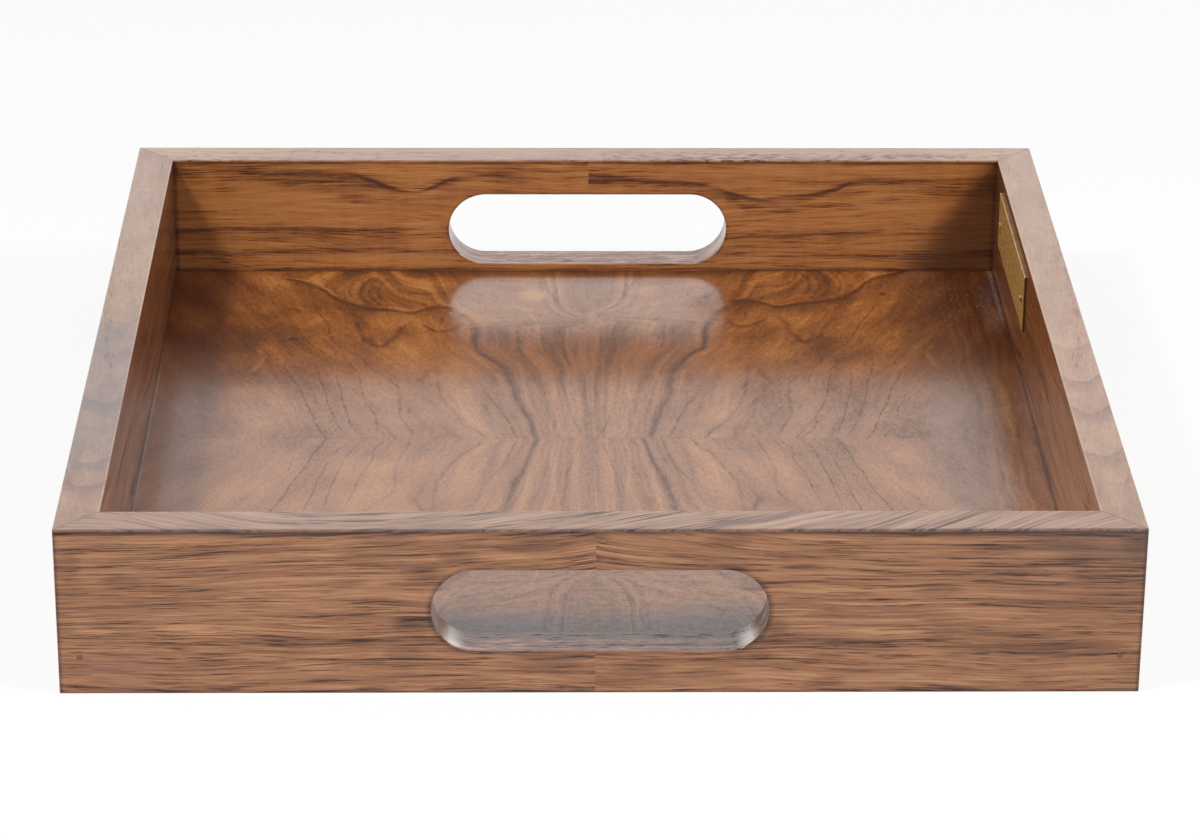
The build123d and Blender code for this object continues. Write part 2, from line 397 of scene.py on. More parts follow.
inner = {
    "colours": [(0.0, (0.060, 0.016, 0.004)), (0.3, (0.165, 0.050, 0.012)),
                (0.6, (0.37, 0.136, 0.033)), (1.0, (0.52, 0.22, 0.065))],
    "paintedShade": (0.045, 0.008, 0.002),  # painted shade in the lower end corners, where the side walls cast shadow
    "leftCornerShade": 0.26,
    "rightCornerShade": 0.70,
    "level": 0.68,
    "darkEdge": 0.4,
    "ripple": 0.05,
    # side walls: tone at the back and front end, and how dull the face is
    "dull": (0.030, 0.035, 0.050),
    "left": {"back": 0.34, "front": 0.44, "dull": 0.15},
    "right": {"back": 0.37, "front": 0.70, "dull": 0.02},
    "sideEdge": 0.2,
    "grain": {"wander": 2.0, "bandsPerMm": 0.13, "streaksPerMm": 0.45, "dashRun": 0.07, "dashesPerMm": 1.5,
              "poreFrom": 0.38, "band": 0.13, "streak": 0.22, "fibre": 0.33, "pore": 0.30},
    "sideGrain": {"wander": 3.0, "bandsPerMm": 0.14, "streaksPerMm": 0.5, "dashRun": 0.03, "dashesPerMm": 0.9,
                  "poreFrom": 0.30, "band": 0.14, "streak": 0.19, "fibre": 0.22, "pore": 0.22},
    "backGloss": {"coat": 0.9, "coatRoughness": 0.13, "coatIor": 1.6, "specular": 0.3, "roughness": 0.36,
                  "relief": 0.2, "dullPits": 0.7},
    "sideGloss": {"coat": 0.60, "coatRoughness": 0.16, "coatIor": 1.6, "specular": 0.15, "roughness": 0.4,
                  "relief": 0.2, "dullPits": 0.7},
}
# dark streaks of the paired leaves: height in mm from the seam outward, width of the line and of the fine
# dark pores around it, depth of both
leftStreaks = [
    ([(0, 56.8), (20, 55.5), (43, 53.4), (55, 51.4), (61.5, 48.6), (68.5, 45.8), (75, 46.4), (84, 50.0),
      (91, 53.0), (105, 54.3), (132, 54.8), (164, 55.5)], 4.2, 12.0, 0.28, 0.24),
    ([(0, 57.5), (20, 56.5), (48, 54.5), (69, 50), (85, 51), (105, 51.2), (132, 53.2), (164, 54.4)],
     7.0, 11.0, 0.10, 0.38),
    ([(55, 30.5), (90, 30.2), (130, 30.8), (164, 29.5)], 3.0, 5.0, 0.34, 0.18),
    ([(55, 27.6), (90, 27.4), (130, 28.0), (164, 27.0)], 6.0, 5.0, 0.12, 0.10),
    ([(0, 19.0), (60, 20.5), (90, 21.5), (130, 20.5), (164, 20.5)], 5.0, 8.0, 0.22, 0.40),
]
rightStreaks = [
    ([(0, 54), (22, 51.6), (38, 50), (51, 47.7), (60.5, 44.3), (72, 42.8), (85, 43.6), (94, 45.4), (99, 47.7),
      (104, 50), (117, 51.6), (140, 51.6), (164, 53)], 4.4, 11.0, 0.38, 0.26),
    ([(0, 51), (33, 49), (56, 44), (66, 40.0), (85, 40.0), (110, 41), (130, 44), (164, 46)],
     4.0, 8.0, 0.12, 0.80),
    ([(55, 26.5), (90, 28), (130, 28.5), (164, 27.2)], 2.6, 5.0, 0.24, 0.16),
    ([(0, 18.0), (60, 19.5), (90, 19.2), (130, 18.5), (164, 19.5)], 4.0, 9.0, 0.16, 0.42),
]
# the thin line along the bottom of each dip, its width and depth
leftDip = ([(52, 53), (57, 51.4), (63, 48.2), (69.5, 46.5), (77.5, 47.6), (87, 51.2), (92, 53)], 2.0, 0.34)
rightDip = ([(55, 46.8), (62, 44.6), (69, 43.6), (76, 44.2), (84, 44.9), (94, 46), (100, 47.6), (105, 50.4)],
            2.2, 0.30)
# long patches like outerPatches
innerPatches = [
    (-66, 29, 11, 9, -0.23), (-67, 48, 10, 4, -0.22), (-76, 16.3, 34, 3.5, -0.23), (66, 16.3, 17, 3.2, -0.17),
    (-92, 27, 19, 2.7, -0.16), (160, 55.3, 9, 3, -0.15), (-85, 48, 9, 2.7, 0.14), (-6, 57.6, 19, 2.4, -0.20),
    (-14, 55.4, 25, 3, -0.22), (-29, 51.7, 15, 2.6, 0.22), (19, 51.7, 8, 2.6, -0.17), (132, 44.7, 9, 3, -0.17),
    (104, 44.7, 10, 3, 0.18), (95, 25, 9, 4, -0.18), (-94, 44.6, 9, 3, 0.20), (-132, 48, 17, 3, -0.12),
    (-150, 55.3, 17, 3, -0.19), (124, 30.5, 8, 3, -0.16), (134, 16, 10, 3, 0.15),
]


def pairedInner(name, seam, shift):
    material, paint, (x, y, z) = startMaterial(name)
    right = paint.maths("GREATER_THAN", x, seam)
    fromSeam = abs(x - seam)
    wavy = z + paint.noise(x * 0.06, z * 0.02, 2.0, 2.0) * 0.5
    tone, pores = grainTone(paint, fromSeam, z, right * 0.35, inner["grain"])
    hair = paint.smooth(paint.noise(x * 0.045, z * 1.3, 9.0, 3.0, 0.65), -0.1, 0.5)
    broken = paint.noise(x * 0.035, z * 0.3, 6.0) * 0.5 + 0.7
    for here, streaks, dip in ((1 - right, leftStreaks, leftDip), (right, rightStreaks, rightDip)):
        for points, width, spread, depth, poresDepth in streaks:
            rise = wavy - paint.curve(fromSeam, points)
            around = paint.smooth(abs(rise), spread / 2, 0.0) * (hair * 0.95 + 0.1) * broken * poresDepth
            tone = tone - here * (paint.line(rise, width) * (broken * 0.35 + 0.65) * depth + around)
        points, width, depth = dip
        tone = tone - here * paint.stroke(fromSeam, wavy, points, width) * depth
    tone = paint.patched(tone, x, z, innerPatches)
    # pale over the dip of the upper streak and dark beside it, paler between the streaks, a faint ripple
    swell = paint.blob(fromSeam - 69, (z - 53) * 2.2, 20.0) * 0.10
    swell = swell - paint.blob(fromSeam - 106, (z - 50.5) * 5, 30.0) * 0.20
    tone = tone + swell * (1 - right * 0.7) + paint.blob(fromSeam - 115, (z - 38.5) * 5, 52.0) * 0.07
    tone = tone + paint.noise(x * 0.3, z * 0.05, 12.0, 3.0, 0.6) * inner["ripple"]
    fromLeft = size["inside"] + x
    fromRight = size["inside"] - x
    edge = paint.smooth(z, size["floorTop"] + 2.2, size["floorTop"] + 0.2) * 1.1
    edge = edge + paint.smooth(z, size["wallTop"] - 1.8, size["wallTop"] - 0.4)
    edge = edge + paint.smooth(slotEdge(paint, x, z, shift), 1.5, 0.0) * 0.6
    edge = edge + paint.smooth(paint.maths("MINIMUM", fromLeft, fromRight), 2.2, 0.6) * 0.8
    tone = tone - edge * inner["darkEdge"] + inner["level"]
    colour = paint.ramp(tone, inner["colours"])
    # painted shade in the end corners, under the slanted edge of the side walls' shadow
    leftCornerShade = paint.smooth(fromLeft - (60 - z) * 0.45, 9.0, -3.0) * inner["leftCornerShade"]
    rightCornerShade = paint.smooth(fromRight - (60 - z) * 0.55, 15.0, -3.0) * inner["rightCornerShade"]
    colour = paint.mix(leftCornerShade + rightCornerShade, colour, inner["paintedShade"])
    finish(paint, colour, pores, inner["backGloss"])
    return material


def singleInner(name, look):
    material, paint, (x, y, z) = startMaterial(name)
    tone, pores = grainTone(paint, y + pastEnd, z + y * 0.05, x * 0.01, inner["sideGrain"])
    tone = tone + look["back"] + paint.smooth(y, 60.0, -160.0) * (look["front"] - look["back"])
    edge = paint.smooth(z, size["floorTop"] + 1.8, size["floorTop"] + 0.6) * 1.6
    edge = edge + paint.smooth(z, size["wallTop"] - 1.6, size["wallTop"])
    edge = edge + paint.smooth(y, 120.0, 160.0) * 0.5 + paint.smooth(z, 25.0, 60.0) * 0.3
    edge = edge + paint.smooth(size["inside"] - abs(y), 2.0, 0.4) * 1.2
    # painted shadow beside the near end of the plate, on the right wall
    plateShadow = paint.between(z, low("name_plate", "z"), high("name_plate", "z"), 0.5)
    plateShadow = plateShadow * paint.smooth(x, 0.0, 100.0)
    edge = edge + plateShadow * paint.line(y - low("name_plate", "y") + 0.4, 2.4) * 2
    colour = paint.ramp(tone - edge * inner["sideEdge"], inner["colours"])
    colour = paint.mix(look["dull"], colour, inner["dull"])
    finish(paint, colour, pores, inner["sideGloss"])
    return material


# Rims

rim = {
    "colours": [(0.0, (0.07, 0.035, 0.025)), (0.3, (0.14, 0.062, 0.038)),
                (0.6, (0.27, 0.13, 0.070)), (1.0, (0.42, 0.25, 0.155))],
    "level": 0.6,
    "mitre": 0.45,  # depth of the dark joint at the corners
    "mitreWidth": 1.3,
    "grain": {"wander": 3.0, "bandsPerMm": 0.11, "streaksPerMm": 0.4, "dashRun": 0.12, "dashesPerMm": 1.5,
              "poreFrom": 0.5, "band": 0.06, "streak": 0.05, "fibre": 0.13, "pore": 0.14},
    "frontGrain": {"wander": 5.0, "bandsPerMm": 0.16, "streaksPerMm": 0.5, "dashRun": 0.05, "dashesPerMm": 1.1,
                   "poreFrom": 0.15, "band": 0.16, "streak": 0.28, "fibre": 0.26, "pore": 0.42},
    "backGrain": {"wander": 3.0, "bandsPerMm": 0.11, "streaksPerMm": 0.4, "dashRun": 0.2, "dashesPerMm": 1.5,
                  "poreFrom": 0.3, "band": 0.07, "streak": 0.12, "fibre": 0.40, "pore": 0.45},
    "gloss": {"coat": 1.0, "coatRoughness": 0.13, "coatIor": 1.6, "specular": 0.35, "roughness": 0.36,
              "relief": 0.2, "dullPits": 0.7},
    "frontSmudges": [-50, -131],  # x of the dark ones on the front arris
    "arcMiddle": 172.4,  # mm from the tray's middle, where an arc reaches furthest
    "smoke": (0.20, 0.185, 0.185),
    # tone at the back and front end; y and depth of a smoky stretch, and how grey it is
    # arcs: pale patches that end in an arc, y of the arc's middle and depth
    "left": {"outward": -1, "back": 0.06, "front": -0.02, "smokeAt": -68, "smoke": 0.19, "grey": 0.26,
             "arcs": [(-4, 0.12), (-31, 0.22), (-77, 0.32), (-98, 0.12), (-127, 0.28), (-146, 0.26)]},
    "right": {"outward": 1, "back": 0.15, "front": 0.0, "smokeAt": -72, "smoke": -0.08, "grey": 0.0,
              "arcs": [(54, -0.14), (-28, 0.18), (-58, 0.28), (-86, 0.28), (-122, 0.24), (-145, 0.08)]},
}


def mitre(paint, x, y):
    # dark along the joint at each corner
    return paint.line(abs(x) - abs(y), rim["mitreWidth"]) * rim["mitre"]


def frontRim():
    material, paint, (x, y, z) = startMaterial("frontRimVeneer")
    # the grain runs in along the rim at the left end and slants off it to the right
    slant = 0.30 + paint.smooth(x, 0.0, 170.0) * 0.25
    across = (y + 172) - x * slant * paint.smooth(x, -170.0, -60.0)
    tone, pores = grainTone(paint, x + pastEnd, across, 2.0, rim["frontGrain"])
    cloud = paint.noise(x * 0.02, y * 0.05, 8.0)
    middle = paint.between(x, -100.0, 120.0, 40.0) * 0.4 + 0.6
    # dark along the front arris, a painted highlight along the inner one
    edge = paint.smooth(y + size["half"], 1.4, 0.0) * 0.3
    edge = edge - paint.smooth(y + size["inside"], -0.8, -0.2) * 0.3
    for place in rim["frontSmudges"]:
        edge = edge + paint.blob((x - place) / 13, (y + size["half"]) / 7, 1.0) * 0.16
    tone = tone * middle + cloud * 0.08 - edge - mitre(paint, x, y) + rim["level"] - 0.02
    finish(paint, paint.ramp(tone, rim["colours"]), pores * middle, rim["gloss"])
    return material


def backRim():
    material, paint, (x, y, z) = startMaterial("backRimVeneer")
    tone, pores = grainTone(paint, x + pastEnd, y, 5.0, rim["backGrain"])
    cloud = paint.noise(x * 0.02, y * 0.06, 3.0)
    ends = paint.smooth(x, 90.0, 170.0) * 0.16 + paint.smooth(x, -90.0, -150.0) * 0.12
    tone = tone + rim["level"] + 0.16 + cloud * 0.10 + ends - mitre(paint, x, y)
    finish(paint, paint.ramp(tone, rim["colours"]), pores, rim["gloss"])
    return material


def sideRim(name, look):
    material, paint, (x, y, z) = startMaterial(name)
    outward = look["outward"]
    fromMiddle = abs(x) - rim["arcMiddle"]
    tone, pores = grainTone(paint, y + pastEnd, fromMiddle - y * 0.12, 1.0, rim["grain"])
    cloud = paint.noise(x * 0.08, y * 0.03, outward * 3.0, 3.0)
    patch = paint.smooth(paint.noise(x * 0.1, y * 0.045, outward * 5.0, 2.0), -0.2, 0.2) - 0.5
    waved = y - fromMiddle * fromMiddle * 0.12 + paint.noise(x * 0.12, y * 0.1, 1.0, 3.0) * 2.2
    for place, depth in look["arcs"]:
        gap = waved - place
        fade = paint.smooth(gap, -14.0, 0.0) * paint.smooth(gap, 1.2, -0.6)
        tone = tone - paint.line(gap, 4.0) * depth * 0.3 - fade * depth * 0.8
    # painted highlight along the inner arris
    arrisHighlight = paint.smooth(abs(x) - size["inside"], 0.8, 0.2) * 0.4
    mottle = paint.noise(x * 0.5, y * 0.3, outward * 7.0, 3.0, 0.7)
    tone = tone + cloud * 0.14 + patch * 0.08 + mottle * 0.11 + arrisHighlight
    smoke = paint.smooth(abs(y - look["smokeAt"]), 85.0, 35.0)
    tone = tone - smoke * look["smoke"] - mitre(paint, x, y) + rim["level"] + look["back"]
    tone = tone + paint.smooth(y, 120.0, -170.0) * (look["front"] - look["back"])
    colour = paint.mix(smoke * look["grey"], paint.ramp(tone, rim["colours"]), rim["smoke"])
    finish(paint, colour, pores, rim["gloss"])
    return material


# Linings of the hand slots

lining = {
    "colours": [(0.0, (0.02, 0.012, 0.010)), (0.3, (0.07, 0.028, 0.016)),
                (0.6, (0.20, 0.075, 0.038)), (1.0, (0.42, 0.27, 0.21))],
    "edgeAndEndMarks": (0.78, 0.70, 0.64),  # painted highlight, pale
    "bandHighlight": 0.66,  # painted highlight low in the round ends
    "innerEdgeHighlight": 0.85,  # painted highlight along the inner edge
    "chips": 0.4,
    "grain": {"wander": 0.5, "bandsPerMm": 0.3, "streaksPerMm": 0.8, "dashRun": 0.14, "dashesPerMm": 1.3,
              "poreFrom": 0.25, "band": 0.12, "streak": 0.2, "fibre": 0.26, "pore": 0.42},
    "gloss": {"coat": 1.0, "coatRoughness": 0.13, "coatIor": 1.6, "specular": 0.35, "roughness": 0.36,
              "relief": 0.3, "dullPits": 0.9},
    "backGloss": {"coat": 0.85, "coatRoughness": 0.16, "coatIor": 1.6, "specular": 0.3, "roughness": 0.4,
                  "relief": 0.3, "dullPits": 0.4},
}


def slotLining(name, level, wearAndLight, gloss):
    material, paint, (x, y, z) = startMaterial(name)
    beyond = paint.maths("MAXIMUM", abs(x) - size["slotStraight"], 0.0)
    below = size["slotMiddle"] - z
    turn = paint.maths("ARCTAN2", beyond, below)  # 0 at the bottom, a quarter turn at the end
    tone, pores = grainTone(paint, x + turn * size["slotRadius"] + pastEnd, y, 1.0, lining["grain"])
    mottle = paint.noise(x * 0.12, y * 0.30, 4.0, 3.0, 0.6)
    shade = paint.smooth(x, -50.0, 45.0) * 0.16 + paint.between(turn, 0.9, 1.4, 0.12) * 0.05
    chipped = paint.smooth(paint.noise(x * 0.35, y * 0.9, 8.0, 3.0, 0.7), 0.25, 0.6)
    chipped = chipped * paint.between(x, 8.0, 42.0, 6.0) * lining["chips"]
    tone = tone + mottle * 0.30 + level - (shade + chipped) * wearAndLight
    colour = paint.ramp(tone, lining["colours"])
    # painted highlight low in the round ends and along the inner arris
    band = paint.between(turn, 0.42, 0.86, 0.18) * paint.smooth(below, 0.0, 3.0)
    arrisHighlight = paint.smooth(abs(y), size["inside"] + 1.3, size["inside"] + 0.1)
    edgeAndEndMarks = paint.maths("MAXIMUM", band * lining["bandHighlight"], arrisHighlight * lining["innerEdgeHighlight"])
    colour = paint.mix(edgeAndEndMarks * wearAndLight, colour, lining["edgeAndEndMarks"])
    finish(paint, colour, pores, gloss)
    return material


# Figured veneer of the floor. One quarter is drawn, in mm from the lengthwise seam (out)
# and from the cross seam (along), and the other three mirror it

floorLook = {
    "colours": [(0.0, (0.060, 0.019, 0.007)), (0.3, (0.125, 0.038, 0.007)),
                (0.6, (0.25, 0.078, 0.011)), (1.0, (0.44, 0.180, 0.045))],
    "level": 0.61,
    # strength of each part of the figure
    "growth": 0.21,
    "hair": 0.09,
    "fleck": 0.15,
    "plates": 0.17,
    "ripple": 0.10,
    "pores": 0.16,
    "wallStreaks": 0.22,
    "frontGrain": 0.19,
    "strokes": 0.9,
    "veins": 1.25,
    "knots": [(-115, 94.5, 2.6, 2.6, 1.1), (119, 141, 2.0, 2.0, 0.45)],
    # what lies on it, and painted shade, highlight and reflection
    "paintedShade": (0.050, 0.0045, 0.0015),  # painted shade beside the walls, where they cast shadow
    "sideShade": 0.72,
    "frontShade": 0.9,
    # dust, and a painted highlight along the foot of the side walls
    "dustAndGlint": (0.45, 0.41, 0.38),
    "bluishShade": (0.06, 0.09, 0.12),  # painted shade with a bluish reflection along the left wall
    "gloss": {"coatRoughness": 0.16, "coatIor": 1.8, "specular": 0.25, "roughness": 0.3,
              "relief": 0.12, "dullPits": 0.5},
    "coat": 0.96,
}
# where the grain changes its run, as points (along, out)
flameEdge = [(0, 20), (22, 24), (55, 30), (70, 35), (82, 43), (108, 44.5), (125, 47), (170, 49)]
archEdge = [(0, 0), (113, 0), (118, 3), (122, 7), (126, 9), (135, 11), (147, 11.5), (165, 12)]
nearVeinEdge = [(0, 66), (22, 72), (48, 74), (58, 79), (72, 88), (88, 97), (100, 101), (120, 107), (170, 122)]
farVeinEdge = [(0, 99), (27, 106), (48, 111), (65, 117), (90, 128), (110, 138), (130, 148), (170, 166)]
# and as points (out, along)
waveEdge = [(40, 122), (52, 126), (57, 127), (61, 126.5), (65, 124), (70, 120.5), (76, 123), (85, 126),
            (92, 128), (97, 133), (101, 138), (106, 146), (112, 151), (120, 156), (140, 168)]
floorStrokes = [  # points (along, out), width in mm, depth: above 0 dark, below 0 pale
    ([(0, 20), (12, 22), (24, 24.5), (38, 28), (55, 30), (66, 33), (76, 38), (82, 43), (90, 44), (100, 43.5),
      (108, 44), (116, 47), (121, 51), (126, 55)], 6.5, 0.21),
    ([(0, 20.5), (12, 22.5), (24, 25), (38, 28.5), (55, 30.5), (66, 33.5), (76, 38.5), (82, 43.5), (100, 44)],
     2.6, 0.16),
    ([(30, 23.5), (45, 24.5), (62, 26), (72, 29), (84, 34)], 3.0, -0.14),
    ([(26, 30.5), (45, 33), (58, 35), (68, 39), (77, 44)], 3.2, -0.14),
    ([(0, 28), (10, 30), (20, 32), (32, 36), (42, 40)], 2.0, 0.14),
    ([(0, 14.5), (20, 15), (40, 14), (68, 12)], 2.8, -0.14),
    ([(28, 4), (60, 5), (84, 4)], 3.4, -0.10),
    ([(84, 18.5), (100, 19.5), (115, 21), (124, 24)], 2.2, -0.19),
    ([(98, 1.5), (126, 1)], 3.2, 0.13),
    ([(0, 33), (8, 40), (16, 45), (26, 48), (38, 50)], 4.0, -0.12),
    ([(3, 66.5), (15, 70), (25, 72), (45, 72), (52, 75), (57, 78)], 2.6, 0.20),
    ([(62, 89.5), (70, 92.5)], 2.8, 0.29),
    ([(86, 80), (92, 77.5), (98, 75), (106, 73), (112, 69)], 4.4, 0.24),
    ([(87, 82), (91, 86), (96, 88), (102, 89), (112, 92)], 3.0, 0.21),
    ([(62, 129.5), (69, 127), (76, 126), (84, 128)], 3.8, -0.30),
    ([(131, 11.5), (140, 14), (155, 17), (161, 17.5)], 2.6, 0.18),
    ([(50, 66), (58, 63.5), (65, 60.5)], 5.0, 0.21),
    ([(139, 100), (145, 103), (152, 108), (156, 115)], 3.4, -0.21),
    ([(131, 79), (137, 82), (144, 83), (151, 82), (158, 79)], 2.3, 0.20),
    ([(131, 86.5), (137, 89.5), (144, 90.5), (151, 89.5), (158, 86.5)], 2.3, 0.20),
    ([(143, 74), (149, 77), (157, 81)], 2.4, 0.21),
    ([(117, 1.5), (119, 4.5), (122, 7.5), (126, 9.5), (135, 11.5), (147, 12), (160, 12.5)], 2.0, 0.32),
    ([(116, 4), (119, 8), (124, 11.5), (130, 13.5), (145, 14.5), (160, 15)], 2.3, -0.14),
    ([(112, 3), (116, 8), (121, 12.5), (128, 15.5), (140, 17.5), (158, 18.5)], 2.6, 0.18),
]
floorVeins = [  # thin, dark and dotted: points (along, out), width, depth
    ([(2, 28), (10, 30), (20, 32), (32, 36), (42, 40)], 1.5, 0.08),
    ([(4, 4), (15, 6), (30, 9), (60, 11)], 1.3, 0.20),
    ([(0, 39), (8, 44), (14, 48), (22, 51), (33, 55), (45, 57), (66, 59)], 3.0, 0.20),
    ([(60, 80), (68, 85), (76, 88), (84, 95), (90, 98), (100, 101), (110, 102.5), (122, 106)], 1.3, 0.24),
    ([(2, 76), (8, 80), (20, 81), (30, 84), (42, 86), (58, 89)], 1.2, 0.27),
    ([(4, 87), (12, 89), (20, 91), (32, 93), (45, 95), (60, 96.5)], 1.2, 0.27),
    ([(1, 90), (14, 95), (22, 97), (32, 99), (45, 101), (57, 103), (68, 105)], 1.2, 0.25),
    ([(72, 98), (80, 102), (88, 107), (94, 110)], 1.2, 0.18),
    ([(80, 107), (87, 112), (93, 115)], 1.1, 0.21),
    ([(0, 98.5), (12, 102), (20, 104), (27, 106), (38, 109), (48, 111), (57, 114), (66, 117)], 1.5, 0.30),
    ([(18, 110), (30, 112), (38, 118), (48, 124), (56, 129)], 1.1, 0.20),
    ([(108, 58), (113, 57), (120, 57.5)], 2.0, 0.16),
    ([(131, 83), (137, 86), (144, 87), (151, 86), (158, 83)], 1.8, 0.18),
    ([(133, 91), (138, 94), (144, 95), (151, 94), (156, 92)], 2.0, 0.19),
]
crossStrokes = [  # like floorStrokes with points (out, along)
    ([(52, 126), (57, 127), (61, 126.5), (65, 124), (70, 120.5), (76, 123), (85, 126), (92, 128), (97, 133),
      (101, 138), (106, 146), (112, 151), (120, 156)], 5.0, 0.32),
    ([(85, 121), (100, 123), (110, 125), (118, 129), (126, 134), (134, 141)], 3.0, -0.10),
    ([(51, 107), (54, 103.5), (58, 101.5), (61, 103.5), (64, 107)], 5.5, 0.29),
    ([(55, 147), (62, 149), (68, 151), (76, 156)], 2.6, 0.19),
    ([(60, 141), (68, 141.5), (74, 144)], 3.0, 0.21),
    ([(0, 127), (8, 128.5), (12, 132)], 2.4, 0.16),
    ([(77, 87), (83, 88)], 6.0, 0.18),
]
sweptStrokes = [  # beside the arch, fainter in the back half
    ([(8, 113), (20, 119), (33, 127), (51, 134)], 2.4, 0.16),
    ([(20, 126), (33, 136), (50, 144)], 2.6, 0.16),
    ([(12, 118), (26, 126), (42, 134)], 2.6, -0.12),
]
floorPatches = [  # x, y from the cross seam, radius, depth: above 0 dark, below 0 pale
    (0, 78, 52, 0.17), (-118, 62, 38, 0.12), (-100, 108, 34, 0.12), (92, 104, 46, 0.07),
    (80, 42, 46, 0.12), (0, 16, 30, 0.06), (-112, 1, 17, 0.10), (86, -11, 14, 0.06),
    (118, 8, 15, 0.17), (117, -16, 9, -0.10), (-58, 64, 17, -0.12), (62, 62, 15, -0.12),
    (-34, 142, 12, 0.07), (-21, 140, 8, -0.30), (24, 145, 8, -0.16), (-43, 113, 8, -0.14),
    (125, 26, 16, 0.10), (-122, 92, 20, 0.10), (99, 82, 17, 0.14), (-86, -26, 15, -0.18),
    (38, 140, 15, 0.08), (0, 87, 18, 0.04), (-131, 140, 18, 0.07), (92, 52, 14, 0.10),
    (68, 84, 14, -0.08), (-77, 115, 13, -0.24), (-82, 102, 9, -0.10), (-66, 87, 15, -0.15),
    (-61, 151, 10, -0.19), (-80, -55, 22, -0.19), (-73, 28, 12, 0.14), (46, 11, 9, 0.15),
    (155, 44, 10, -0.15), (122, 78, 9, 0.13), (-141, 95, 20, 0.20), (54, 132, 16, 0.18),
    (130, -70, 13, -0.14), (-112, 114, 11, -0.14), (80, 114, 11, -0.16), (-135, 56, 12, 0.15),
    (130, 90, 11, 0.11),
]


